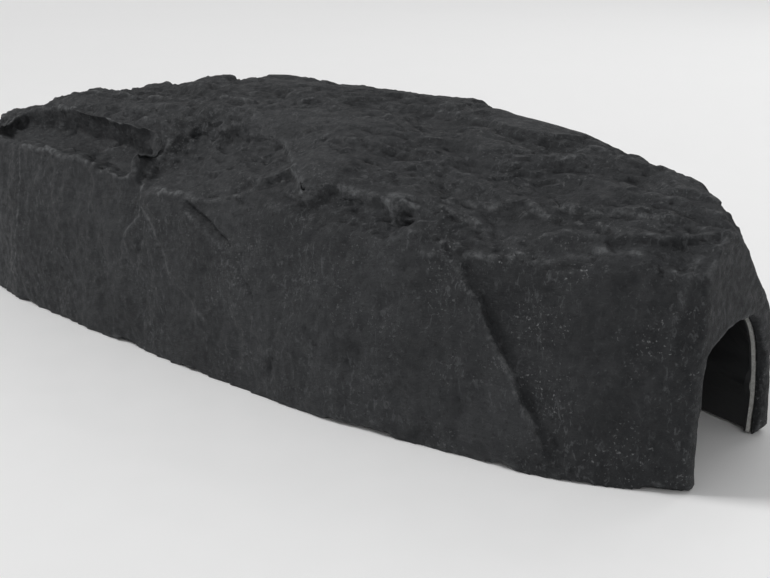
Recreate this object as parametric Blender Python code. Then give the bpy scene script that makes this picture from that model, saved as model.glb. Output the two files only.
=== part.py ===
"""Resin cave ornament: a hollow length of imitation slate with a doorway at one end.

The rock is a one-piece hand-laid casting, open underneath.  It is built here as the three
bonded layers that the casting is laid up from, each its own closed solid:

    rock_skin       the dark, sand-filled face coat that carries the rock's relief
    laminate_shell  the pale glass-fibre and resin layer behind it, seen at the doorway's edge
    inner_coat      the dark flow coat that seals the laminate's inside

Metres, +Z up.  +X runs along the rock towards the doorway and -Y is the tall, faceted front.
The origin is at the middle of the footprint, on the surface that the rock stands on.
"""
import math

import bmesh
import bpy
from mathutils import Matrix, Vector, noise

# ---- driving dimensions -------------------------------------------------------------------
LENGTH = 0.600            # whole rock, along X
WIDTH = 0.204             # whole rock at its feet, along Y
HEIGHT = 0.168            # floor to the highest part of the roof
DOOR_WIDTH = 0.086        # clear opening in the +X end
DOOR_HEIGHT = 0.081
DOOR_Y = -0.010           # middle of the doorway, a little towards the front
LINTEL = 0.054            # rock left above the doorway, at the end face
SKIN = 0.0060             # face coat where the relief is shallow
LAMINATE = 0.0020
COAT = 0.0009
GAP = 0.0003              # between one layer and the next
TRIM_BACK = 0.0015        # the two inner layers stop this far above the floor
ROOF_ALLOWANCE = 0.0060   # extra face coat under the roof, for its ledges
LEAN = 0.0100             # how far the front and back lean inwards over their height
BELLY = 0.0035            # how far they swell outwards at mid height
ROUGHNESS = 0.0022        # height of the broken surface between one facet and the next
ROUGH_PATCH = 0.045       # size of one lump of it
ROUGH_SEED = 4            # which broken surface it is, the same one each time

# Ledges and facets broken out of the front
SHELF_DROP = 0.0170       # the left-hand shelf, below the brow of the roof slab over it
SHELF_DEPTH = 0.0310
SHELF_MOUTH = 0.0190      # height of the slot under the slab
STEP_DROP = 0.0170        # the sloping step right of the shelf, below the brow
STEP_DEPTH = 0.0600
LEDGE_DROP = 0.0090       # the slot under the long brow
LEDGE_DEPTH = 0.0120
LEDGE_MOUTH = 0.0080
FACET_FOOT = 0.80         # where the right-hand facet's edge meets the floor, as a share
FACET_SLANT = math.radians(32)      # how far that edge leans back from upright
FACET_TURN = math.radians(6)        # how far the facet turns in towards the doorway
FACET_DEPTH = 0.0005      # how far that facet's foot is behind the rest of the front

# ---- how finely the loft is cut -----------------------------------------------------------
STATIONS = 24             # sections along the length
FACE_STEPS = 5            # points up the front, and down the back
ROOF_STEPS = 7            # points from the front brow to the crest, and from there back
FORM_STEPS = 3            # points between two control points of the smooth inside form
CROWDING = 0.35           # how far the sections of the outside crowd towards the two ends
PASS_THROUGH = 0.020      # how far a cutter runs past the surface that it opens

# ---- the rock's lines, as (share of half the length, share of half the width or height) ---
FRONT_FOOT = [(-1.0, -0.43), (-0.94, -0.52), (-0.82, -0.62), (-0.53, -0.74), (-0.32, -0.83),
              (-0.10, -0.90), (0.11, -0.965), (0.38, -0.975), (0.67, -0.90), (0.82, -0.84),
              (0.93, -0.71)]
BACK_FOOT = [(-1.0, 0.05), (-0.89, 0.36), (-0.76, 0.60), (-0.54, 0.82), (-0.27, 0.97),
             (0.05, 1.0), (0.36, 0.93), (0.64, 0.77), (0.86, 0.55)]
CREST_Y = [(-1.0, -0.20), (-0.82, 0.05), (-0.63, 0.46), (-0.40, 0.62), (0.0, 0.62),
           (0.27, 0.57), (0.455, 0.38), (0.64, 0.28), (0.82, 0.12), (0.91, -0.03), (1.0, -0.28)]
CREST_Z = [(-1.0, 0.755), (-0.82, 0.85), (-0.63, 0.91), (-0.40, 0.955), (0.0, 0.985),
           (0.27, 0.975), (0.455, 0.95), (0.64, 0.925), (0.82, 0.885), (0.91, 0.86)]
BROW_Z = [(-1.0, 0.70), (-0.80, 0.79), (-0.30, 0.80), (0.20, 0.78), (0.42, 0.72),
          (0.55, 0.66), (0.80, 0.67)]
BACK_BROW_Z = [(-1.0, 0.55), (-0.60, 0.66), (0.0, 0.72), (0.50, 0.68), (0.80, 0.60)]
REAR_ROUND = [(-1.0, 2.2), (0.50, 2.2), (1.0, 1.2)]     # how full the roof is behind the crest
FRONT_ROUND = 1.8                                       # and in front of it
END_BROW = 0.65           # the end face's front brow, as a share of the lintel above the door
END_SHOULDER = 0.0055     # the end face's back brow, below the top of the door

# ---- the inside form, as shares of the rock's own lines -----------------------------------
FRONT_SPRING = 0.66       # where its front stops being upright, as a share of the brow
REAR_SPRING = 0.80
FRONT_ARCH = [(0.16, 0.44), (0.50, 0.79)]   # share of the way to the crest, and of the rise
FORM_LEAN = 0.6

WALL = SKIN + GAP + LAMINATE + GAP + COAT
NAME = "resin_cave_ornament"


# ---- small tools --------------------------------------------------------------------------
def clear_scene():
    for obj in list(bpy.data.objects):
        bpy.data.objects.remove(obj, do_unlink=True)


def collection(name):
    made = bpy.data.collections.new(name)
    bpy.context.scene.collection.children.link(made)
    return made


def through(points, at):
    """The value at one place on a smooth line through (place, value) points."""
    last = len(points) - 1
    if at <= points[0][0]:
        return points[0][1]
    if at >= points[last][0]:
        return points[last][1]
    i = next(k for k in range(last) if at <= points[k + 1][0])
    p = [points[max(0, min(last, k))] for k in (i - 1, i, i + 1, i + 2)]
    span = p[2][0] - p[1][0]
    slope_in = (p[2][1] - p[0][1]) / (p[2][0] - p[0][0])
    slope_out = (p[3][1] - p[1][1]) / (p[3][0] - p[1][0])
    t = (at - p[1][0]) / span
    return ((2 * t**3 - 3 * t**2 + 1) * p[1][1] + (t**3 - 2 * t**2 + t) * span * slope_in
            + (3 * t**2 - 2 * t**3) * p[2][1] + (t**3 - t**2) * span * slope_out)


def material(name, colour, roughness):
    made = bpy.data.materials.new(name)
    made.use_nodes = True
    shader = made.node_tree.nodes["Principled BSDF"]
    shader.inputs["Base Color"].default_value = (*colour, 1.0)
    shader.inputs["Roughness"].default_value = roughness
    shader.inputs["Metallic"].default_value = 0.0
    return made


def object_from(bm, name, home):
    """Turn a finished bmesh into an object with its faces pointing out."""
    bmesh.ops.recalc_face_normals(bm, faces=bm.faces)
    mesh = bpy.data.meshes.new(name)
    bm.to_mesh(mesh)
    bm.free()
    obj = bpy.data.objects.new(name, mesh)
    home.objects.link(obj)
    return obj


def as_cutter(obj):
    obj.hide_render = True
    obj.display_type = 'WIRE'
    return obj


def subtract(body, cutter):
    cut = body.modifiers.new("minus " + cutter.name, 'BOOLEAN')
    cut.operation = 'DIFFERENCE'
    cut.solver = 'EXACT'
    cut.object = cutter


def loft(rings, name, home):
    """A closed body through equal rings of points, with a flat cap on each end.

    Every patch is split the same way, so that nested layers stay parallel where they twist.
    """
    bm = bmesh.new()
    rows = [[bm.verts.new(point) for point in ring] for ring in rings]
    for row, following in zip(rows, rows[1:]):
        for i in range(len(row)):
            j = (i + 1) % len(row)
            bm.faces.new((row[i], row[j], following[j]))
            bm.faces.new((row[i], following[j], following[i]))
    bm.faces.new(rows[0])
    bm.faces.new(reversed(rows[-1]))
    return object_from(bm, name, home)


def wedge(name, corner_a, corner_b, home, pivot, turn, tilt, roll):
    """A block between two corners, tilted about X, rolled about Y and turned about Z."""
    low, high = Vector(corner_a), Vector(corner_b)
    bm = bmesh.new()
    bmesh.ops.create_cube(bm, size=1.0)
    bmesh.ops.scale(bm, vec=high - low, verts=bm.verts)
    bmesh.ops.translate(bm, vec=(low + high) / 2, verts=bm.verts)
    spin = (Matrix.Rotation(turn, 3, 'Z') @ Matrix.Rotation(roll, 3, 'Y')
            @ Matrix.Rotation(tilt, 3, 'X'))
    bmesh.ops.rotate(bm, cent=pivot, matrix=spin, verts=bm.verts)
    return as_cutter(object_from(bm, name, home))


# ---- the rock's lines in metres -----------------------------------------------------------
def rock_lines(share):
    """Feet, brows and crest of the rock at one share of its half length."""
    end_front = DOOR_Y - DOOR_WIDTH / 2 - WALL
    end_back = DOOR_Y + DOOR_WIDTH / 2 + WALL
    half = WIDTH / 2
    front = through(FRONT_FOOT + [(1.0, end_front / half)], share) * half
    back = through(BACK_FOOT + [(1.0, end_back / half)], share) * half
    end_crest = DOOR_HEIGHT + LINTEL
    end_brow = DOOR_HEIGHT + LINTEL * END_BROW
    end_back_brow = DOOR_HEIGHT - END_SHOULDER
    crest_z = through(CREST_Z + [(1.0, end_crest / HEIGHT)], share) * HEIGHT
    crest_y = through(CREST_Y, share) * half
    brow_z = through(BROW_Z + [(1.0, end_brow / HEIGHT)], share) * HEIGHT
    back_brow_z = through(BACK_BROW_Z + [(1.0, end_back_brow / HEIGHT)], share) * HEIGHT
    return {"front": front, "back": back, "crest": (crest_y, crest_z),
            "brow": (front + LEAN, brow_z), "back_brow": (back - LEAN, back_brow_z),
            "rear_round": through(REAR_ROUND, share)}


def eased(low, high, share, power):
    """From low to high, fast at first: the way a roof rises from its brow."""
    return low + (high - low) * (1 - (1 - share) ** power)


def roof_behind(lines, share):
    """A point of the roof's outside between the back brow (0) and the crest (1)."""
    rear_y, rear_z = lines["back_brow"]
    crest_y, crest_z = lines["crest"]
    z = eased(rear_z, crest_z, share, lines["rear_round"])
    return rear_y + (crest_y - rear_y) * share, z


def rock_ring(x):
    """One section of the outside, from the front foot over the roof to the back foot."""
    lines = rock_lines(x / (LENGTH / 2))
    brow_y, brow_z = lines["brow"]
    crest_y, crest_z = lines["crest"]
    rear_z = lines["back_brow"][1]
    ring = []
    for i in range(FACE_STEPS):
        t = i / FACE_STEPS
        belly = BELLY * math.sin(math.pi * t)
        ring.append(Vector((x, lines["front"] + LEAN * t - belly, brow_z * t)))
    for i in range(ROOF_STEPS):
        t = i / ROOF_STEPS
        z = eased(brow_z, crest_z, t, FRONT_ROUND)
        ring.append(Vector((x, brow_y + (crest_y - brow_y) * t, z)))
    for i in range(ROOF_STEPS):
        t = 1 - i / ROOF_STEPS
        ring.append(Vector((x, *roof_behind(lines, t))))
    for i in range(FACE_STEPS + 1):
        t = 1 - i / FACE_STEPS
        belly = BELLY * math.sin(math.pi * t)
        ring.append(Vector((x, lines["back"] - LEAN * t + belly, rear_z * t)))
    return ring


def roughened(point, on_end):
    """Push a point of the outside about, but keep the foot level and the end faces flat."""
    seed = point / ROUGH_PATCH
    push = noise.noise_vector(seed) * ROUGHNESS + noise.noise_vector(seed * 2.7) * ROUGHNESS / 2
    if point.z <= 0:
        push.z = 0
    if on_end:
        push.x = 0
    return point + push


def make_rock_block(home):
    rings = []
    for i in range(STATIONS + 1):
        even = 2 * i / STATIONS - 1
        crowded = -math.cos(math.pi * i / STATIONS)
        x = LENGTH / 2 * (even + (crowded - even) * CROWDING)
        rings.append([roughened(point, i in (0, STATIONS)) for point in rock_ring(x)])
    return loft(rings, "rock_skin", home)


# ---- the smooth inside form ---------------------------------------------------------------
def form_ring(x, share, inset, floor):
    """One section of the smooth form that the layers are laid over, inset from the rock."""
    lines = rock_lines(share)
    step = 0.02
    rise = rock_lines(share + step)["front"] - rock_lines(share - step)["front"]
    side = inset * math.hypot(1.0, rise / (step * LENGTH))
    front = lines["front"] + side
    back = lines["back"] - side
    crest_y, crest_z = lines["crest"]
    top = crest_z - ROOF_ALLOWANCE - inset
    spring = FRONT_SPRING * lines["brow"][1] - inset
    rear_spring = REAR_SPRING * lines["back_brow"][1] - inset
    lean = FORM_LEAN * LEAN
    rear_y = (back - lean + crest_y) / 2
    outer_y = lines["back_brow"][0]
    rear_z = roof_behind(lines, (outer_y - rear_y) / (outer_y - crest_y))[1]
    points = [(front + lean * floor / spring, floor),
              (front + lean / 2, spring / 2), (front + lean, spring)]
    points += [(front + lean + along * (crest_y - front), spring + up * (top - spring))
               for along, up in FRONT_ARCH]
    points += [(crest_y, top), (rear_y, rear_z - ROOF_ALLOWANCE - side),
               (back - lean, rear_spring), (back - lean / 2, rear_spring / 2),
               (back - lean * floor / rear_spring, floor)]
    ring = []
    last = len(points) - 1
    for i in range(last):
        for k in range(FORM_STEPS if 0 < i < last - 1 else 1):
            t = k / FORM_STEPS
            y = through([(j, points[j][0]) for j in range(last + 1)], i + t)
            z = through([(j, points[j][1]) for j in range(last + 1)], i + t)
            ring.append(Vector((x, y, z)))
    ring.append(Vector((x, *points[last])))
    return ring


def make_form(name, inset, floor, home):
    """The hollow's smooth shape, inset from the rock all round."""
    left = -LENGTH / 2 + inset + ROOF_ALLOWANCE
    right = LENGTH / 2 - inset
    rings = []
    for i in range(STATIONS + 1):
        x = left + (right - left) * i / STATIONS
        rings.append(form_ring(x, x / (LENGTH / 2), inset, floor))
    return loft(rings, name, home)


def make_doorway(home):
    """The doorway's arch: an upright near jamb, a flat crown and a rounded far jamb."""
    low = DOOR_Y - DOOR_WIDTH / 2
    shape = [(0.0, 0.0), (0.0, 0.55), (0.05, 0.88), (0.25, 0.97), (0.50, 1.0), (0.72, 0.96),
             (0.88, 0.80), (0.98, 0.50), (1.0, 0.30), (0.97, 0.0)]
    curve = bpy.data.curves.new("doorway_outline", 'CURVE')
    curve.dimensions = '2D'
    curve.fill_mode = 'BOTH'
    curve.extrude = WALL + PASS_THROUGH
    curve.resolution_u = 3
    spline = curve.splines.new('BEZIER')
    spline.use_cyclic_u = True
    outline = [(low, -PASS_THROUGH)]
    outline += [(low + y * DOOR_WIDTH, z * DOOR_HEIGHT) for y, z in shape]
    outline += [(low + shape[-1][0] * DOOR_WIDTH, -PASS_THROUGH)]
    spline.bezier_points.add(len(outline) - 1)
    for point, place in zip(spline.bezier_points, outline):
        point.co = (*place, 0)
        corner = place[1] <= 0
        point.handle_left_type = 'VECTOR' if corner else 'AUTO'
        point.handle_right_type = 'VECTOR' if corner else 'AUTO'
    drawn = bpy.data.objects.new("doorway_outline", curve)
    home.objects.link(drawn)
    upright = Matrix.Rotation(math.pi / 2, 4, 'Z') @ Matrix.Rotation(math.pi / 2, 4, 'X')
    drawn.matrix_world = Matrix.Translation((LENGTH / 2, 0, 0)) @ upright
    bpy.context.view_layer.update()
    seen = drawn.evaluated_get(bpy.context.evaluated_depsgraph_get())
    mesh = bpy.data.meshes.new_from_object(seen)
    bm = bmesh.new()
    bm.from_mesh(mesh)
    bmesh.ops.remove_doubles(bm, verts=bm.verts, dist=0.00001)
    doorway = object_from(bm, "doorway", home)
    doorway.matrix_world = drawn.matrix_world.copy()
    bpy.data.meshes.remove(mesh)
    bpy.data.objects.remove(drawn)
    return as_cutter(doorway)


# ---- ledges and facets --------------------------------------------------------------------
def brow_at(share, drop):
    """A point this far below the front brow."""
    y, z = rock_lines(share)["brow"]
    return Vector((share * LENGTH / 2, y, z - drop))


def broken_faces(home):
    """The blocks that have split away from the front of the rock."""
    half = LENGTH / 2
    out = WIDTH                      # far enough to pass clear of the rock
    shelf = brow_at(-0.62, SHELF_DROP)
    turn = math.radians(-8)
    shelf_break = wedge("shelf_break", (-0.93 * half, shelf.y - out, shelf.z),
                        (-0.33 * half, shelf.y + SHELF_DEPTH / 2, HEIGHT + out), home,
                        shelf, turn, math.radians(6), 0.0)
    undercut = wedge("shelf_undercut", (-0.93 * half, shelf.y - out, shelf.z),
                     (-0.33 * half, shelf.y + SHELF_DEPTH, shelf.z + SHELF_MOUTH), home,
                     shelf, turn, math.radians(10), 0.0)
    step = brow_at(-0.10, STEP_DROP)
    step_break = wedge("step_break", (-0.30 * half, step.y - out, step.z),
                       (0.14 * half, step.y + STEP_DEPTH, HEIGHT + out), home,
                       step, math.radians(-4), math.radians(22), math.radians(-5))
    ledge = brow_at(0.26, LEDGE_DROP)
    ledge_break = wedge("brow_undercut", (0.06 * half, ledge.y - out, ledge.z),
                        (0.46 * half, ledge.y + LEDGE_DEPTH, ledge.z + LEDGE_MOUTH), home,
                        ledge, math.radians(3), math.radians(12), math.radians(3))
    lines = rock_lines(FACET_FOOT)
    foot = Vector((FACET_FOOT * half, lines["front"] + FACET_DEPTH, 0))
    facet_break = wedge("facet_break", (foot.x, foot.y - out, -HEIGHT),
                        (foot.x + LENGTH, foot.y, HEIGHT + out), home,
                        foot, FACET_TURN, -math.atan(LEAN / lines["brow"][1]), -FACET_SLANT)
    return [shelf_break, undercut, step_break, ledge_break, facet_break]


# ---- the three layers ---------------------------------------------------------------------
def make_skin(parts, cutters, doorway):
    skin = make_rock_block(parts)
    hollow = as_cutter(make_form("skin_hollow", SKIN, -PASS_THROUGH, cutters))
    for cut in broken_faces(cutters) + [hollow, doorway]:
        subtract(skin, cut)
    skin.data.materials.append(material("charcoal_slate_face_coat", (0.030, 0.032, 0.035), 0.85))


def make_layer(name, depth, thickness, parts, cutters, doorway):
    """A layer of one thickness, starting at a depth below the rock's outside."""
    layer = make_form(name, depth, TRIM_BACK, parts)
    hollow = as_cutter(make_form(name + "_hollow", depth + thickness, -PASS_THROUGH, cutters))
    subtract(layer, hollow)
    subtract(layer, doorway)
    return layer


def main():
    clear_scene()
    noise.seed_set(ROUGH_SEED)
    parts = collection(NAME)
    cutters = collection("cutters")
    doorway = make_doorway(cutters)
    make_skin(parts, cutters, doorway)
    shell = make_layer("laminate_shell", SKIN + GAP, LAMINATE, parts, cutters, doorway)
    shell.data.materials.append(material("pale_glass_fibre_resin", (0.42, 0.42, 0.40), 0.60))
    coat = make_layer("inner_coat", SKIN + GAP + LAMINATE + GAP, COAT, parts, cutters, doorway)
    coat.data.materials.append(material("dark_flow_coat", (0.020, 0.021, 0.023), 0.45))


main()
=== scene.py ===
"""Looks of the resin cave ornament: a hollow casting of imitation charcoal slate.

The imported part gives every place. The outside is remeshed finely from the part's own skin, broken up
with slaty relief and with ledges, flakes and cracks in chosen places, and coloured by procedural
materials. Lengths are metres; places on the rock are shares of the part's box.
"""
import math

import bpy
import bmesh
import numpy as np
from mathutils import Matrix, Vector
from mathutils.bvhtree import BVHTree


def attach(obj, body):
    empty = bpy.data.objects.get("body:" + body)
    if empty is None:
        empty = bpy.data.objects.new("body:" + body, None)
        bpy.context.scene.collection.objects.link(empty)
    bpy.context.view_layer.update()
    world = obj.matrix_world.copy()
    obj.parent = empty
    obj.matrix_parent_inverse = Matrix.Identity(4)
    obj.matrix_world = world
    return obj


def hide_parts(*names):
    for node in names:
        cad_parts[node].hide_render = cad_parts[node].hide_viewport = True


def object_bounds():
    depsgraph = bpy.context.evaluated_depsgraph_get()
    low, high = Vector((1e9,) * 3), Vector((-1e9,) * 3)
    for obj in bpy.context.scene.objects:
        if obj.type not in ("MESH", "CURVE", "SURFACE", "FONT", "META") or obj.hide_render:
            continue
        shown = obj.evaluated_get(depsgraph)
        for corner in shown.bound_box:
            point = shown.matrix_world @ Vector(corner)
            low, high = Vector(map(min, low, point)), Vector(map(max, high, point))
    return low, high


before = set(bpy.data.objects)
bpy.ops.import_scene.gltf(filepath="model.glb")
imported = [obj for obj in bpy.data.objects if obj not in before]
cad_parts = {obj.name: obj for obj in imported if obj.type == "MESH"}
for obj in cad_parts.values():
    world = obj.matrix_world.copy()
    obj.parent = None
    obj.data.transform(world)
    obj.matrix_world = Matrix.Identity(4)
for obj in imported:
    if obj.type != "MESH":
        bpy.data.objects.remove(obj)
CAD_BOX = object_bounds()

# ---- driving values -----------------------------------------------------------------------
GRAIN = 0.0019            # spacing of the remeshed surface, so the size of its finest detail
BACK_BREAKS = 1.8         # how much bolder the breaks are on the back than on the front
INNER_SKIN = 0.0016       # the rock's inner face lies this near the laminate and stays smooth
FULL_RELIEF = 0.0050      # this far from the laminate the relief has its full height
THICK = 0.030             # rock thicker than this counts as this thick
THIN_SHARE = 0.28         # the most that a thin lip moves, as a share of its thickness
FOOT_BAND = 0.004         # height over which the relief dies away at the foot
FOOT_NICK = 0.0034        # most that the foot's edge is nicked away
INWARD_SHARE = 0.55       # the most the relief cuts in, as a share of the rock over the laminate
LAMINATE_GUARD = (0.0008, 0.0034)            # nearer the laminate than this the relief dies away
WOBBLE = 0.0015           # how far the whole surface wanders, and the size of one wave of it
WOBBLE_SIZE = 0.024
RIM_DEPTH = 0.004         # the doorway's rim is this near the rock's end
RIM_RELIEF_LOST = 0.85    # share of the relief, and of the wobble, that is left off it
RIM_WOBBLE_LOST = 0.6
NICK_SIZE = 0.040         # size of one run of nicks along the foot
FOOT_SIDEWAYS = 0.45      # share of the sideways relief at the foot, and what is added above it
ABOVE_SIDEWAYS = 0.55
OVERSHOOT = 0.004         # how far the relief may pass the part's box, as a share of each side
SEED = 11                 # which broken surface it is

LOW, HIGH = (np.array(corner) for corner in CAD_BOX)
SPAN = HIGH - LOW
LENGTH = SPAN[0]
CENTRE = (LOW + HIGH) / 2

CAMERA_PLACE = (0.9277, -1.0885, 0.5165)     # from the middle of the footprint, in lengths
CAMERA_TURN = 37.56       # degrees to the left of +Y
CAMERA_DIP = 17.6         # degrees below level
LENS = 62.32              # millimetres
SENSOR = 36.0             # millimetres across the picture
FLOOR_REACH = 160         # half the floor's side, in lengths


# ---- noise --------------------------------------------------------------------------------
SCATTER = (73856093, 19349663, 83492791)     # large odd numbers that scatter neighbouring cells
SEED_SCATTER = 2654435761
MIXER = 1274126177
NOISE_GAIN = 1.7                             # brings the noise to about -1 to 1


def hashed(cell, seed):
    """One pseudo-random whole number for every lattice cell."""
    value = seed * SEED_SCATTER
    for axis, factor in enumerate(SCATTER):
        value = value ^ (cell[:, axis] * factor)
    value = (value ^ (value >> 13)) * MIXER
    value = value ^ (value >> 16)
    return value & 0x7FFFFFFF


DIRECTIONS = np.random.default_rng(SEED).normal(size=(256, 3))
DIRECTIONS /= np.linalg.norm(DIRECTIONS, axis=1)[:, None]


def smooth_noise(points, seed):
    """Gradient noise from about -1 to 1 at each point."""
    cell = np.floor(points).astype(np.int64)
    inside = points - cell
    fade = inside ** 3 * (inside * (inside * 6 - 15) + 10)
    total = np.zeros(len(points))
    for dx in (0, 1):
        for dy in (0, 1):
            for dz in (0, 1):
                corner = np.array((dx, dy, dz))
                slope = DIRECTIONS[hashed(cell + corner, seed) % 256]
                weight = np.prod(np.where(corner == 1, fade, 1 - fade), axis=1)
                total += weight * np.einsum("ij,ij->i", slope, inside - corner)
    return total * NOISE_GAIN


def layered(points, seed, octaves=4, gain=0.5):
    """Noise on top of finer and fainter noise."""
    total = np.zeros(len(points))
    height = 1.0
    for i in range(octaves):
        total += height * smooth_noise(points * 2.03 ** i, seed + i)
        height *= gain
    return total


def creased(points, seed, octaves=3):
    """Noise with sharp crests, from 0 to 1."""
    total = np.zeros(len(points))
    height = 0.6
    for i in range(octaves):
        total += height * (1 - np.abs(smooth_noise(points * 2.1 ** i, seed + i)) * 1.6)
        height *= 0.45
    return np.clip(total, 0, 1)


def terraced(value, steps, softness=0.18):
    """A rising value cut into steps with short risers, as split slate is."""
    scaled = value * steps
    base = np.floor(scaled)
    rise = np.clip((scaled - base - (1 - softness)) / softness, 0, 1)
    return (base + rise * rise * (3 - 2 * rise)) / steps


def chips(points, seed):
    """Flat chips. For each point: its chip's own random height (-1 to 1), what the chip's tilt adds there,
    and how far inside the chip's edge the point is."""
    cell = np.floor(points).astype(np.int64)
    nearest = np.full(len(points), 9.0)
    second = np.full(len(points), 9.0)
    height = np.zeros(len(points))
    tilt = np.zeros(len(points))
    for dx in (-1, 0, 1):
        for dy in (-1, 0, 1):
            for dz in (-1, 0, 1):
                home = cell + np.array((dx, dy, dz))
                mark = hashed(home, seed)
                jitter = np.stack([(mark >> s & 1023) / 1023 for s in (0, 10, 20)], axis=1)
                away = home + jitter - points
                distance = np.einsum("ij,ij->i", away, away)
                closer = distance < nearest
                second = np.where(closer, nearest, np.minimum(second, distance))
                nearest = np.where(closer, distance, nearest)
                own = (mark >> 7 & 1023) / 511.5 - 1
                height = np.where(closer, own, height)
                slope = DIRECTIONS[mark % 256]
                tilt = np.where(closer, np.einsum("ij,ij->i", slope, away), tilt)
    return height, tilt, np.sqrt(second) - np.sqrt(nearest)


def eased(value, low, high):
    """0 below low, 1 above high, and a smooth rise between them."""
    t = np.clip((value - low) / (high - low), 0, 1)
    return t * t * (3 - 2 * t)


# ---- listed marks -------------------------------------------------------------------------
def along(line, flat):
    """Distance from a line of points, the side (+ is left of its direction) and how far along."""
    best = np.full(len(flat), 9.0)
    side = np.zeros(len(flat))
    travel = np.zeros(len(flat))
    gone = 0.0
    total = sum(math.dist(a, b) for a, b in zip(line, line[1:]))
    for start, end in zip(line, line[1:]):
        a = np.array(start)
        run = np.array(end) - a
        length = np.linalg.norm(run)
        t = np.clip(((flat - a) @ run) / length ** 2, 0, 1)
        off = flat - a - t[:, None] * run
        distance = np.linalg.norm(off, axis=1)
        closer = distance < best
        turn = np.sign(run[0] * (flat - a)[:, 1] - run[1] * (flat - a)[:, 0])
        side = np.where(closer, turn, side)
        travel = np.where(closer, (gone + t * length) / total, travel)
        best = np.where(closer, distance, best)
        gone += length
    return best, side, travel


def taper(travel, ends=0.12):
    """1 along the middle of a line, falling to 0 at its two ends."""
    return eased(travel, 0, ends) * (1 - eased(travel, 1 - ends, 1))


def groove(line, flat, width, depth):
    """A hollow along the line."""
    distance, _, travel = along(line, flat)
    return -depth * np.exp(-(distance / width) ** 2) * (0.35 + 0.65 * taper(travel))


def ridge(line, flat, width, height):
    """A raised line."""
    return -groove(line, flat, width, height)


def scarp(line, flat, reach, height, edge=0.0012, raised=1):
    """One side of the line stands proud at the line and falls back over its reach."""
    distance, side, travel = along(line, flat)
    signed = distance * side * raised
    lip = eased(signed, -edge, edge)
    return height * lip * np.exp(-np.clip(signed, 0, None) / reach) * (0.3 + 0.7 * taper(travel))


# Lines on the front face, as shares of the length and height
LEFT_CORNER = [(0.107, 0.740), (0.107, 0.680), (0.115, 0.469), (0.103, 0.277), (0.078, 0.120)]
RIDGE = [(0.350, 0.830), (0.352, 0.734), (0.353, 0.692), (0.362, 0.638), (0.363, 0.560)]
FLAKE_LEFT = [(0.363, 0.600), (0.360, 0.560), (0.343, 0.499), (0.332, 0.439), (0.330, 0.379),
              (0.347, 0.340)]
FLAKE_RIGHT = [(0.362, 0.602), (0.383, 0.548), (0.397, 0.487), (0.408, 0.415), (0.415, 0.361),
               (0.435, 0.310), (0.470, 0.230)]
CRACK = [(0.436, 0.680), (0.460, 0.620), (0.487, 0.578), (0.510, 0.545)]
CHIP = [(0.748, 0.650), (0.762, 0.652), (0.775, 0.640), (0.785, 0.622)]
FACET_STEP = [(0.778, 0.650), (0.792, 0.605), (0.805, 0.548), (0.815, 0.480), (0.828, 0.415),
              (0.840, 0.350), (0.851, 0.283), (0.862, 0.225), (0.878, 0.150), (0.895, 0.084)]
FACET_STEP_TOP = FACET_STEP[:-3]
FACET_TOP = [(0.785, 0.655), (0.797, 0.665), (0.825, 0.692), (0.868, 0.690), (0.900, 0.725), (0.940, 0.735)]
END_EDGE = [(0.984, 0.760), (0.982, 0.668), (0.980, 0.578), (0.978, 0.420), (0.982, 0.200)]
SCARS = [[(0.618, 0.325), (0.630, 0.280), (0.640, 0.235)], [(0.575, 0.193), (0.573, 0.102)],
         [(0.193, 0.221), (0.213, 0.181), (0.237, 0.150)], [(0.520, 0.470), (0.545, 0.400), (0.550, 0.350)]]
SHELF_LIP = [(0.120, 0.700), (0.150, 0.712), (0.200, 0.700), (0.250, 0.712), (0.300, 0.716), (0.345, 0.725)]
STEP_LIP = [(0.372, 0.680), (0.420, 0.688), (0.460, 0.680), (0.500, 0.700), (0.520, 0.740), (0.545, 0.800)]

# Lines on the roof, as shares of the length and width
SLAB_EDGE = [(0.440, 0.400), (0.470, 0.353), (0.507, 0.319), (0.527, 0.275), (0.575, 0.152), (0.605, 0.079)]
OVERHANG = [(0.600, 0.085), (0.637, 0.122), (0.660, 0.118), (0.683, 0.123), (0.704, 0.118), (0.733, 0.150)]
RECESS = [(0.535, 0.150), (0.560, 0.175), (0.585, 0.150)]
ROOF_LEDGES = [[(0.735, 0.185), (0.755, 0.215), (0.777, 0.240), (0.815, 0.262), (0.840, 0.250)],
               [(0.690, 0.135), (0.720, 0.160), (0.755, 0.180), (0.790, 0.170)],
               [(0.840, 0.285), (0.903, 0.310), (0.975, 0.335)],
               [(0.855, 0.175), (0.915, 0.225), (0.962, 0.270), (1.000, 0.345)],
               [(0.520, 0.430), (0.600, 0.400), (0.690, 0.430), (0.760, 0.400)],
               [(0.560, 0.300), (0.640, 0.330), (0.720, 0.320)],
               [(0.100, 0.520), (0.220, 0.480), (0.330, 0.500), (0.420, 0.470)],
               [(0.620, 0.640), (0.720, 0.600), (0.830, 0.560), (0.900, 0.520)]]
# The lines above whose worn edges show pale, and are painted with highlights: front ones, then roof ones
PALE_FRONT = [LEFT_CORNER, RIDGE, FLAKE_LEFT, FLAKE_RIGHT, CHIP, FACET_STEP_TOP, FACET_TOP, END_EDGE[:3],
              SHELF_LIP, STEP_LIP]
PALE_ROOF = [SLAB_EDGE, OVERHANG] + ROOF_LEDGES[:3]

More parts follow.
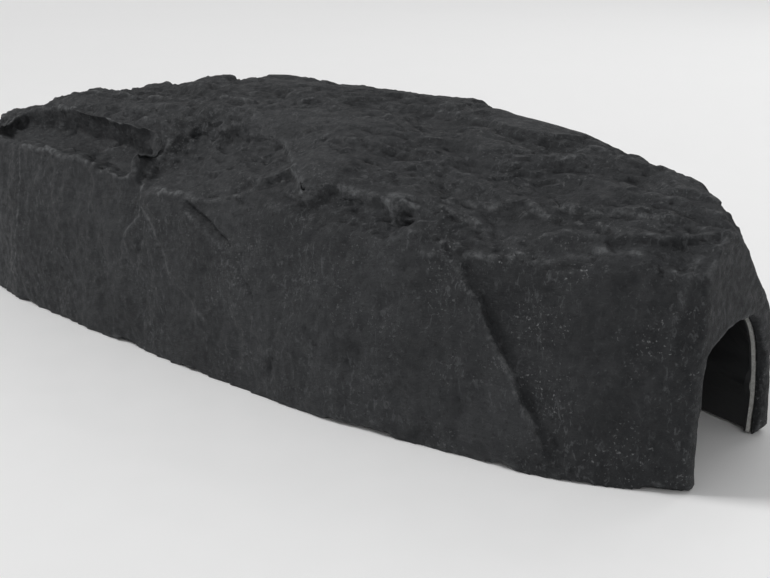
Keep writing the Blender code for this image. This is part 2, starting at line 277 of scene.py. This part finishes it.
# Low and high places of the roof: shares of length and width, radius in lengths, height in metres
ROOF_SWELLS = [(0.655, 0.560, 0.035, -0.0050), (0.725, 0.600, 0.045, 0.0030),
               (0.790, 0.560, 0.028, -0.0030), (0.250, 0.560, 0.060, -0.0030),
               (0.480, 0.560, 0.080, 0.0015)]
CRATER = (0.428, 0.330, 0.024, -0.0075)
CRATER_RIM = 0.0022       # height of its raised rim
CRATER_RIM_WIDTH = 0.0035
UNDERCUT = 0.0035         # how far in front of an overhang's edge its hollow lies
PALE_WIDTH = 0.0016       # half width of a line that is rubbed pale and painted with highlight

# Where the broken shelves are rounded off: shares of the box, radius in lengths, amount
SOFT_PASSES = 130
SOFT_PLACES = [(0.372, 0.270, 0.82, 0.060, 1.0), (0.420, 0.320, 0.86, 0.070, 1.0),
               (0.500, 0.280, 0.86, 0.080, 0.9), (0.620, 0.120, 0.76, 0.080, 1.0),
               (0.560, 0.200, 0.80, 0.070, 0.8)]

# What each front line does to the face: its form, the line, how far to its right the form lies, and
# the form's own sizes, all in metres
FRONT_RELIEF = [
    (scarp, LEFT_CORNER, 0.0, {"reach": 0.030, "height": 0.0030}),
    (ridge, RIDGE, 0.0, {"width": 0.0020, "height": 0.0008}),
    (scarp, RIDGE, 0.0, {"reach": 0.040, "height": 0.0022}),
    (scarp, FLAKE_LEFT, 0.0, {"reach": 0.022, "height": 0.0022}),
    (scarp, FLAKE_RIGHT, 0.0, {"reach": 0.034, "height": 0.0016}),
    (groove, CRACK, 0.0, {"width": 0.0022, "depth": 0.0042}),
    (scarp, CRACK, 0.0, {"reach": 0.014, "height": 0.0016, "raised": -1}),
    (ridge, CHIP, 0.0, {"width": 0.0030, "height": 0.0014}),
    (scarp, FACET_STEP, 0.0, {"reach": 0.070, "height": 0.0030, "edge": 0.0008, "raised": -1}),
    (groove, FACET_STEP_TOP, 0.007, {"width": 0.0090, "depth": 0.0012}),
    (ridge, FACET_TOP, 0.0, {"width": 0.0018, "height": 0.0008}),
    (ridge, END_EDGE, 0.0, {"width": 0.0030, "height": 0.0012}),
    (ridge, SHELF_LIP, 0.0, {"width": 0.0022, "height": 0.0010}),
    (ridge, STEP_LIP, 0.0, {"width": 0.0022, "height": 0.0012})]

# The kinds of chip: the size of one chip along X, Y and Z, how far it stands out, how much it tilts,
# and how wide the eased border inside its edge is, as a share of its size
FACETS = {"size": (0.095, 0.060, 0.075), "height": 0.0005, "tilt": 0.0018, "border": 0.16}
SCALLOPS = {"size": (0.020, 0.020, 0.030), "height": 0.00022, "tilt": 0.0008, "border": 0.22}
SLIVERS = {"size": (0.034, 0.0095, 0.016), "height": 0.00075, "tilt": 0.0016}
FLECKS = {"size": (0.011, 0.0042, 0.006), "height": 0.00036}
PLATE_STEPS = 5
PLATE_HEIGHT = 0.0100     # from the lowest slate plate of the roof to the highest


def spread_out(points, axis):
    """Each point's distance along the rock and up it (axis 2) or across it (axis 1), with a wander."""
    flat = np.stack([points[:, 0] - LOW[0], points[:, axis] - LOW[axis]], axis=1)
    wander = []
    for k in range(2):
        slow = layered(points / 0.030, SEED + 40 + k, 2) * 0.0012
        quick = layered(points / 0.007, SEED + 44 + k, 2) * 0.0006
        wander.append(slow + quick)
    return flat + np.stack(wander, axis=1)


def in_metres(line, axis):
    return [(x * SPAN[0], other * SPAN[axis]) for x, other in line]


def front_marks(points):
    """Relief in chosen places on the front face, in metres outwards."""
    flat = spread_out(points, 2)
    raised = np.zeros(len(points))
    for form, shape, aside, sizes in FRONT_RELIEF:
        line = [(x + aside, z) for x, z in in_metres(shape, 2)]
        raised += form(line, flat, **sizes)
    for scar in SCARS:
        shape = in_metres(scar, 2)
        raised += groove(shape, flat, width=0.0026, depth=0.0016)
        raised += scarp(shape, flat, reach=0.016, height=0.0012, raised=-1)
    return raised


def roof_marks(points):
    """Relief in chosen places on the roof, in metres outwards."""
    flat = spread_out(points, 1)
    raised = scarp(in_metres(SLAB_EDGE, 1), flat, reach=0.050, height=0.0045)
    for shape, height, hollow in ((OVERHANG, 0.0050, 0.0040), (RECESS, 0.0030, 0.0035)):
        line = in_metres(shape, 1)
        raised += scarp(line, flat, reach=0.026, height=height)
        raised += groove([(x, y - UNDERCUT) for x, y in line], flat, width=0.0036, depth=hollow)
    for ledge in ROOF_LEDGES:
        raised += scarp(in_metres(ledge, 1), flat, reach=0.022, height=0.0034, edge=0.0014)
    for share_x, share_y, radius, height in ROOF_SWELLS + [CRATER]:
        centre = np.array((share_x * SPAN[0], share_y * SPAN[1]))
        away = (flat - centre) / (radius * LENGTH * np.array((1.0, 0.75)))
        raised += height * np.exp(-np.einsum("ij,ij->i", away, away))
    share_x, share_y, radius, _ = CRATER
    away = np.linalg.norm((flat - np.array((share_x * SPAN[0], share_y * SPAN[1]))) / (1.0, 0.7), axis=1)
    raised += CRATER_RIM * np.exp(-((away - radius * LENGTH) / CRATER_RIM_WIDTH) ** 2)
    return raised


def pale_lines(points, normals):
    """1 on the lines whose edges are rubbed pale and painted as highlights, 0 away from them, patchy along
    them.
    """
    pale = np.zeros(len(points))
    for shapes, axis, facing in ((PALE_FRONT, 2, -normals[:, 1]), (PALE_ROOF, 1, normals[:, 2])):
        flat = spread_out(points, axis)
        for shape in shapes:
            distance = along(in_metres(shape, axis), flat)[0]
            pale = np.maximum(pale, np.exp(-(distance / PALE_WIDTH) ** 2) * eased(facing, 0.2, 0.5))
    patchy = eased(layered(points / 0.016, SEED + 50, 3), -0.35, 0.45)
    return pale * (0.25 + 0.75 * patchy)


# ---- the rock's relief --------------------------------------------------------------------
def chipped(points, seed, size, height, tilt=0.0, border=0.0):
    """Chips of one kind, in metres outwards."""
    own, lean, inside = chips(points / size, seed)
    chip = own * height + lean * tilt
    return chip * eased(inside, 0.0, border) if border else chip


def relief(points, normals):
    """Metres outwards at every point of the outside: slaty roof, broken and gritty faces."""
    stone = points / LENGTH * 0.6
    roof = eased(normals[:, 2], 0.30, 0.62)
    face = 1 - roof
    warp = np.stack([layered(stone / 0.035, SEED + 30 + k, 3) for k in range(3)], axis=1) * 0.006
    bent = stone + warp
    facets = chipped(bent, SEED + 1, **FACETS)
    scallops = chipped(bent, SEED + 2, **SCALLOPS)
    grit = layered(stone / 0.0058, SEED + 3, 3) * 0.00042
    lumps = layered(stone / 0.060, SEED + 4, 4) * 0.0014
    grain = layered(bent / (0.014, 0.014, 0.050), SEED + 5, 4) * 0.00060
    behind = eased(normals[:, 1], 0.2, 0.6)
    on_face = facets * (1 + BACK_BREAKS * behind) + scallops + grit + lumps + grain
    bedding = layered(bent / (0.120, 0.034, 0.050), SEED + 6, 4)
    plates = terraced(bedding * 0.5 + 0.5, PLATE_STEPS) * PLATE_HEIGHT - PLATE_HEIGHT / 2
    slivers = chipped(bent, SEED + 7, **SLIVERS)
    flecks = chipped(bent, SEED + 8, **FLECKS)
    crests = creased(bent / (0.060, 0.014, 0.020), SEED + 9) ** 3 * 0.0012
    on_roof = plates + slivers + flecks + crests + lumps * 1.2 + grit * 0.8
    is_front = eased(-normals[:, 1], 0.15, 0.5)
    marks = front_marks(points) * is_front + roof_marks(points) * eased(normals[:, 2], 0.2, 0.5)
    return face * on_face + roof * on_roof + marks


def mesh_arrays(mesh):
    """The mesh's points, their normals and its edges."""
    places = np.zeros(len(mesh.vertices) * 3)
    mesh.vertices.foreach_get("co", places)
    normals = np.zeros(len(mesh.vertices) * 3)
    mesh.vertices.foreach_get("normal", normals)
    edges = np.zeros(len(mesh.edges) * 2, np.int64)
    mesh.edges.foreach_get("vertices", edges)
    return places.reshape(-1, 3), normals.reshape(-1, 3), edges.reshape(-1, 2)


def mean_of_neighbours(values, edges):
    ends = np.concatenate([edges[:, 0], edges[:, 1]])
    others = np.concatenate([edges[:, 1], edges[:, 0]])
    count = np.maximum(np.bincount(ends, minlength=len(values)), 1)
    columns = values.reshape(len(values), -1).T
    means = [np.bincount(ends, column[others], len(values)) / count for column in columns]
    return np.stack(means, axis=1).reshape(values.shape)


def blurred(values, edges, times):
    for i in range(times):
        values = mean_of_neighbours(values, edges)
    return values


def write_attribute(mesh, name, values):
    layer = mesh.attributes.new(name, "FLOAT", "POINT")
    layer.data.foreach_set("value", values.astype(np.float32))


def fine_copy(node, grain, name):
    """A new object with the node's shape, remeshed to an even fine grain."""
    obj = bpy.data.objects.new(name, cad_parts[node].data.copy())
    bpy.context.scene.collection.objects.link(obj)
    bm = bmesh.new()
    bm.from_mesh(obj.data)
    bmesh.ops.remove_doubles(bm, verts=bm.verts, dist=1e-6)
    bm.to_mesh(obj.data)
    bm.free()
    remesh = obj.modifiers.new("grain", "REMESH")
    remesh.mode = "VOXEL"
    remesh.voxel_size = grain
    bpy.context.view_layer.update()
    evaluated = obj.evaluated_get(bpy.context.evaluated_depsgraph_get())
    obj.data = bpy.data.meshes.new_from_object(evaluated)
    obj.modifiers.clear()
    largest_body(obj.data)
    return obj


def largest_body(mesh):
    """Drop the crumbs that remeshing leaves at thin lips."""
    bm = bmesh.new()
    bm.from_mesh(mesh)
    bodies = []
    seen = set()
    for vert in bm.verts:
        if vert in seen:
            continue
        body = [vert]
        seen.add(vert)
        for member in body:
            for edge in member.link_edges:
                other = edge.other_vert(member)
                if other not in seen:
                    seen.add(other)
                    body.append(other)
        bodies.append(body)
    bodies.sort(key=len)
    for crumb in bodies[:-1]:
        bmesh.ops.delete(bm, geom=crumb, context="VERTS")
    bm.to_mesh(mesh)
    bm.free()


def rock_behind(mesh, points, normals):
    """How thick the rock is under each point of its surface."""
    tree = BVHTree.FromPolygons([v.co for v in mesh.vertices], [tuple(p.vertices) for p in mesh.polygons])
    found = []
    for point, normal in zip(points, normals):
        inwards = Vector(-normal)
        hit = tree.ray_cast(Vector(point) + inwards * 2e-4, inwards)
        found.append(hit[3] if hit[0] is not None else THICK)
    return np.minimum(np.array(found), THICK)


def distance_to(node, points):
    """How far each point is from a CAD node's surface."""
    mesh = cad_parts[node].data
    tree = BVHTree.FromPolygons([v.co for v in mesh.vertices], [tuple(p.vertices) for p in mesh.polygons])
    return np.array([tree.find_nearest(Vector(p))[3] for p in points])


def weathered(points, edges, outside):
    """Round off the broken shelves, most of all the neck of rock between them."""
    soft = blurred(points, edges, SOFT_PASSES)
    share = (points - LOW) / SPAN
    neck = np.zeros(len(points))
    for share_x, share_y, share_z, radius, amount in SOFT_PLACES:
        away = (share - (share_x, share_y, share_z)) * SPAN / (radius * LENGTH)
        neck = np.maximum(neck, amount * np.exp(-np.einsum("ij,ij->i", away, away) ** 2))
    return points + (soft - points) * (neck * outside)[:, None]


def move_points(mesh, places):
    mesh.vertices.foreach_set("co", places.ravel())
    mesh.update()


def limited(mesh, shift, points, normals, edges):
    """The shift, held back where the rock behind a point is thin."""
    reach = np.maximum(np.linalg.norm(shift, axis=1), 1e-9)
    thin = blurred(rock_behind(mesh, points, normals), edges, 3)
    return shift * np.minimum(1.0, THIN_SHARE * thin / reach)[:, None]


def foot_kept(shift, points, outside):
    """The shift with the foot left on the floor, apart from the nicks in its edge."""
    height = points[:, 2] - LOW[2]
    above_foot = eased(height, 0.0, FOOT_BAND)
    shift[:, 2] *= above_foot
    nicked = eased(layered(points / NICK_SIZE, SEED + 60, 4), 0.05, 0.75) * FOOT_NICK
    shift[:, 2] += nicked * (1 - eased(height, 0.0, 4 * FOOT_NICK)) * outside
    shift[:, :2] *= (FOOT_SIDEWAYS + ABOVE_SIDEWAYS * above_foot)[:, None]
    return shift


def broken_up(mesh, points, normals, outward, edges, outside):
    """Where each point goes once the relief has broken up the surface."""
    to_laminate = distance_to("laminate_shell", points)
    rim = np.abs(normals[:, 0]) * (points[:, 0] > HIGH[0] - RIM_DEPTH)
    lift = relief(points, outward) * outside * (1 - RIM_RELIEF_LOST * rim)
    lift = np.maximum(lift, -INWARD_SHARE * np.clip(to_laminate - INNER_SKIN, 0, None))
    wobble = [layered(points / WOBBLE_SIZE, SEED + 20 + k, 4) for k in range(3)]
    wobble = np.stack(wobble, axis=1) * WOBBLE
    wobble *= (outside * (1 - RIM_WOBBLE_LOST * rim))[:, None]
    shift = limited(mesh, wobble + outward * lift[:, None], points, normals, edges)
    shift = foot_kept(shift, points, outside)
    near = distance_to("laminate_shell", points + shift)
    shift *= np.where(outside > 0.2, eased(near, *LAMINATE_GUARD), 1.0)[:, None]
    moved = np.clip(points + shift, LOW - OVERSHOOT * SPAN, HIGH + OVERSHOOT * SPAN)
    moved[:, 2] = np.maximum(moved[:, 2], LOW[2])
    return moved


def write_looks(mesh, points, outward, outside):
    """What the slate material reads at each point: edge wear with painted highlight, painted shade in
    hollows, pale lines partly painted as highlights, roof, and the facet that is painted in shade.
    """
    moved, fresh, edges = mesh_arrays(mesh)
    bend = np.einsum("ij,ij->i", moved - mean_of_neighbours(moved, edges), fresh) / GRAIN
    broad = np.einsum("ij,ij->i", moved - blurred(moved, edges, 6), fresh) / GRAIN
    # convex edges: rubbed wear and painted highlight
    wear_and_highlight = np.clip(blurred(bend, edges, 1) * 2.2 + broad * 0.45, 0, 1)
    write_attribute(mesh, "edge_wear_and_highlight", wear_and_highlight * outside)
    # painted shade: hollows are darkened
    write_attribute(mesh, "hollow_shade", np.clip(-bend * 1.4 - broad * 0.55, 0, 1) * outside)
    write_attribute(mesh, "pale_edge", pale_lines(points, outward) * outside)
    write_attribute(mesh, "roof", eased(outward[:, 2], 0.25, 0.6))
    # the facet right of the step line, painted darker as shade
    distance, side, _ = along(in_metres(FACET_STEP, 2), spread_out(points, 2))
    shaded_facet = eased(distance * side, 0, 0.004) * eased(-outward[:, 1], 0.2, 0.5)
    shaded_facet = shaded_facet * (points[:, 2] < 0.70 * SPAN[2])
    write_attribute(mesh, "shaded_facet", shaded_facet * (points[:, 0] > 0.1 * LENGTH))


def make_rock():
    rock = fine_copy("rock_skin", GRAIN * (1.0), "slate_skin")
    points, normals, edges = mesh_arrays(rock.data)
    outside = eased(distance_to("laminate_shell", points), INNER_SKIN, FULL_RELIEF)
    move_points(rock.data, weathered(points, edges, outside))
    points, normals, edges = mesh_arrays(rock.data)
    outward = blurred(normals, edges, 4)
    outward /= np.linalg.norm(outward, axis=1)[:, None]
    move_points(rock.data, broken_up(rock.data, points, normals, outward, edges, outside))
    write_looks(rock.data, points, outward, outside)
    rock.data.shade_smooth()
    rock.data.materials.clear()
    rock.data.materials.append(slate_material())
    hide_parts("rock_skin")
    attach(rock, "root")


# ---- materials ----------------------------------------------------------------------------
class Nodes:
    """Short calls for building one material's node tree. A noise's scale is in waves per metre."""

    def __init__(self, name):
        self.material = bpy.data.materials.new(name)
        self.material.use_nodes = True
        self.tree = self.material.node_tree
        self.shader = self.tree.nodes["Principled BSDF"]
        self.places = self.tree.nodes.new("ShaderNodeTexCoord").outputs["Object"]

    def link(self, source, target):
        if isinstance(source, (int, float, tuple)):
            target.default_value = source
        else:
            self.tree.links.new(source, target)

    def stretched(self, scale):
        mapping = self.tree.nodes.new("ShaderNodeMapping")
        mapping.inputs["Scale"].default_value = scale
        self.link(self.places, mapping.inputs["Vector"])
        return mapping.outputs["Vector"]

    def noise(self, scale, detail=4.0, rough=0.55, stretch=(1, 1, 1), distortion=0.0):
        node = self.tree.nodes.new("ShaderNodeTexNoise")
        self.link(self.stretched(stretch), node.inputs["Vector"])
        node.inputs["Scale"].default_value = scale
        node.inputs["Detail"].default_value = detail
        node.inputs["Roughness"].default_value = rough
        node.inputs["Distortion"].default_value = distortion
        return node.outputs["Fac"]

    def attribute(self, name):
        node = self.tree.nodes.new("ShaderNodeAttribute")
        node.attribute_name = name
        return node.outputs["Fac"]

    def ranged(self, value, low, high, to_low=0.0, to_high=1.0):
        node = self.tree.nodes.new("ShaderNodeMapRange")
        node.interpolation_type = "SMOOTHSTEP"
        self.link(value, node.inputs["Value"])
        ends = {"From Min": low, "From Max": high, "To Min": to_low, "To Max": to_high}
        for name, amount in ends.items():
            node.inputs[name].default_value = amount
        return node.outputs["Result"]

    def maths(self, operation, a, b):
        node = self.tree.nodes.new("ShaderNodeMath")
        node.operation = operation
        self.link(a, node.inputs[0])
        self.link(b, node.inputs[1])
        return node.outputs[0]

    def mixed(self, share, a, b):
        node = self.tree.nodes.new("ShaderNodeMix")
        node.data_type = "RGBA"
        self.link(share, node.inputs["Factor"])
        self.link(a if not isinstance(a, tuple) else (*a, 1.0), node.inputs["A"])
        self.link(b if not isinstance(b, tuple) else (*b, 1.0), node.inputs["B"])
        return node.outputs["Result"]

    def bump(self, height, distance, strength=1.0, onto=None):
        node = self.tree.nodes.new("ShaderNodeBump")
        node.inputs["Distance"].default_value = distance
        node.inputs["Strength"].default_value = strength
        self.link(height, node.inputs["Height"])
        if onto is not None:
            self.link(onto, node.inputs["Normal"])
        return node.outputs["Normal"]

    def finish(self, colour, roughness, normal, gloss=0.5):
        self.shader.inputs["Specular IOR Level"].default_value = gloss
        self.link(colour, self.shader.inputs["Base Color"])
        self.link(roughness, self.shader.inputs["Roughness"])
        self.link(normal, self.shader.inputs["Normal"])
        return self.material


def slate_material():
    """Sand-filled charcoal resin: blue-grey, gritty, paler on broken edges partly as painted highlight,
    with painted glints, painted shade in hollows and on one facet, dusty in patches.
    """
    n = Nodes("charcoal_slate_cast")
    roof = n.attribute("roof")
    wear_and_highlight = n.attribute("edge_wear_and_highlight")
    hollow_shade = n.attribute("hollow_shade")
    shaded_facet = n.attribute("shaded_facet")
    patches = n.ranged(n.noise(14, 5), 0.35, 0.68)
    colour = n.mixed(patches, (0.0185, 0.0197, 0.0216), (0.0285, 0.0300, 0.0324))
    streaks = n.ranged(n.noise(60, 6, 0.65, (0.35, 1.6, 1.0), 0.4), 0.46, 0.72)
    streaks = n.maths("MULTIPLY", streaks, n.maths("MULTIPLY", roof, 0.55))
    colour = n.mixed(streaks, colour, (0.052, 0.0540, 0.0570))
    brushed = n.ranged(n.noise(95, 5, 0.7, (1.3, 1.3, 0.35)), 0.50, 0.74)
    colour = n.mixed(n.maths("MULTIPLY", brushed, 0.35), colour, (0.048, 0.0500, 0.0530))
    pores = n.ranged(n.noise(420, 3, 0.7), 0.56, 0.66)
    colour = n.mixed(n.maths("MULTIPLY", pores, 0.55), colour, (0.008, 0.0084, 0.0092))
    # painted shade: the facet right of the step line is darkened
    colour = n.mixed(n.maths("MULTIPLY", shaded_facet, 0.30), colour, (0.014, 0.0148, 0.0165))
    # painted glints: pale specks gathered in clusters, more of them on the shaded facet
    painted_glints = n.ranged(n.noise(560, 3, 0.6), 0.60, 0.68)
    gather = n.ranged(n.noise(34, 4), 0.42, 0.62, 0.10, 1.0)
    painted_glints = n.maths("MULTIPLY", painted_glints, gather)
    scuffs = n.ranged(n.noise(330, 4, 0.7, (1.0, 1.0, 0.5), 0.8), 0.535, 0.66)
    scuffs = n.maths("MULTIPLY", scuffs, n.ranged(n.noise(22, 4), 0.38, 0.64, 0.14, 0.75))
    colour = n.mixed(scuffs, colour, (0.078, 0.081, 0.085))
    shown = n.maths("ADD", n.maths("MULTIPLY", shaded_facet, 0.35), 0.35)
    colour = n.mixed(n.maths("MULTIPLY", painted_glints, shown), colour, (0.200, 0.205, 0.210))
    # pale on convex edges and listed lines: partly rubbed wear, partly painted highlight
    ragged = n.ranged(n.noise(240, 5, 0.75), 0.40, 0.62, 0.15, 1.0)
    pale_wear_and_highlight = n.maths("MAXIMUM", n.ranged(wear_and_highlight, 0.22, 0.95), n.attribute("pale_edge"))
    edge = n.maths("MULTIPLY", pale_wear_and_highlight, ragged)
    colour = n.mixed(n.maths("MULTIPLY", edge, 0.70), colour, (0.150, 0.155, 0.160))
    # painted shade: darker in hollows
    shaded = n.maths("MULTIPLY", n.ranged(hollow_shade, 0.15, 0.9), 0.65)
    colour = n.mixed(shaded, colour, (0.012, 0.0125, 0.0140))
    roughness = n.ranged(n.noise(180, 4), 0.3, 0.7, 0.58, 0.86)
    grit = n.bump(n.noise(430, 5, 0.75), 0.0016, 0.9)
    slaty = n.bump(n.noise(130, 6, 0.68, (0.45, 1.4, 1.2), 0.6), 0.0030, 0.6, grit)
    return n.finish(colour, roughness, slaty, gloss=0.30)


def laminate_material():
    """Pale glass-fibre and resin laminate with a faint sawn grain."""
    n = Nodes("pale_fibre_laminate")
    strands = n.ranged(n.noise(380, 5, 0.7, (1.0, 0.3, 1.0), 1.2), 0.35, 0.7)
    colour = n.mixed(strands, (0.30, 0.30, 0.285), (0.47, 0.47, 0.455))
    stains = n.ranged(n.noise(22, 4), 0.5, 0.75)
    colour = n.mixed(n.maths("MULTIPLY", stains, 0.4), colour, (0.20, 0.20, 0.19))
    roughness = n.ranged(n.noise(200, 3), 0.3, 0.7, 0.48, 0.72)
    return n.finish(colour, roughness, n.bump(n.noise(420, 4, 0.7, (1, 0.3, 1)), 0.0004, 0.6))


def flow_coat_material():
    """Dark brushed flow coat: satin, with brush drags, runs and dusty patches."""
    n = Nodes("dark_flow_coat")
    drags = n.ranged(n.noise(55, 6, 0.6, (0.25, 1.0, 1.6), 0.8), 0.38, 0.70)
    colour = n.mixed(drags, (0.0100, 0.0104, 0.0112), (0.0210, 0.0218, 0.0230))
    dust = n.ranged(n.noise(12, 5), 0.52, 0.80)
    colour = n.mixed(n.maths("MULTIPLY", dust, 0.35), colour, (0.045, 0.046, 0.047))
    roughness = n.ranged(drags, 0.0, 1.0, 0.34, 0.58)
    runs = n.bump(n.noise(26, 4, 0.5, (1.0, 1.0, 0.35)), 0.0020, 0.5)
    return n.finish(colour, roughness, n.bump(n.noise(220, 5, 0.65, (0.3, 1.0, 1.0)), 0.0006, 0.55, runs))


def floor_material():
    n = Nodes("pale_floor")
    colour = n.mixed(n.noise(3, 3), (0.89, 0.89, 0.89), (0.91, 0.91, 0.91))
    roughness = n.ranged(n.noise(40, 3), 0.3, 0.7, 0.55, 0.65)
    return n.finish(colour, roughness, n.bump(n.noise(300, 2), 0.0002, 0.2))


# ---- inner layers -------------------------------------------------------------------------
def finish_layer(node, material):
    """A CAD layer keeps its shape and gets its real finish."""
    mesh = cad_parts[node].data
    mesh.materials.clear()
    mesh.materials.append(material)
    mesh.polygons.foreach_set("material_index", [0] * len(mesh.polygons))


# ---- stage, camera and lights -------------------------------------------------------------
def make_floor():
    bm = bmesh.new()
    bmesh.ops.create_grid(bm, x_segments=8, y_segments=8, size=FLOOR_REACH * LENGTH)
    mesh = bpy.data.meshes.new("floor")
    bm.to_mesh(mesh)
    bm.free()
    floor = bpy.data.objects.new("floor", mesh)
    floor.location.z = LOW[2] - 0.0002
    bpy.context.scene.collection.objects.link(floor)
    mesh.materials.append(floor_material())


def make_camera():
    data = bpy.data.cameras.new("camera")
    data.lens = LENS
    data.sensor_width = SENSOR
    data.clip_start = 0.01
    camera = bpy.data.objects.new("camera", data)
    foot = Vector((CENTRE[0], CENTRE[1], LOW[2]))
    camera.location = foot + Vector(CAMERA_PLACE) * LENGTH
    camera.rotation_euler = (math.radians(90 - CAMERA_DIP), 0, math.radians(CAMERA_TURN))
    bpy.context.scene.collection.objects.link(camera)
    bpy.context.scene.camera = camera


def add_light(name, place, size, power):
    """A soft square light that faces the rock; place is in lengths from the box's middle."""
    data = bpy.data.lights.new(name, "AREA")
    data.size = size * LENGTH
    data.energy = power
    light = bpy.data.objects.new(name, data)
    light.location = Vector(CENTRE) + Vector(place) * LENGTH
    light.rotation_euler = (-Vector(place)).to_track_quat("-Z", "Y").to_euler()
    bpy.context.scene.collection.objects.link(light)


def make_lights():
    sun = bpy.data.lights.new("key", "SUN")
    sun.energy = 1.75
    sun.angle = math.radians(16)
    key = bpy.data.objects.new("key", sun)
    key.rotation_euler = Vector((2.6, 1.25, -2.7)).to_track_quat("-Z", "Y").to_euler()
    bpy.context.scene.collection.objects.link(key)
    add_light("fill", (3.0, -2.4, 1.6), 2.6, 9)
    add_light("back", (0.4, 3.2, 2.4), 2.4, 8)
    world = bpy.data.worlds.new("studio")
    world.use_nodes = True
    world.node_tree.nodes["Background"].inputs["Color"].default_value = (1.0, 1.0, 1.0, 1.0)
    world.node_tree.nodes["Background"].inputs["Strength"].default_value = 0.42
    bpy.context.scene.world = world
    bpy.context.scene.view_settings.view_transform = "Standard"


make_camera()
make_lights()
make_floor()
make_rock()
finish_layer("laminate_shell", laminate_material())
finish_layer("inner_coat", flow_coat_material())
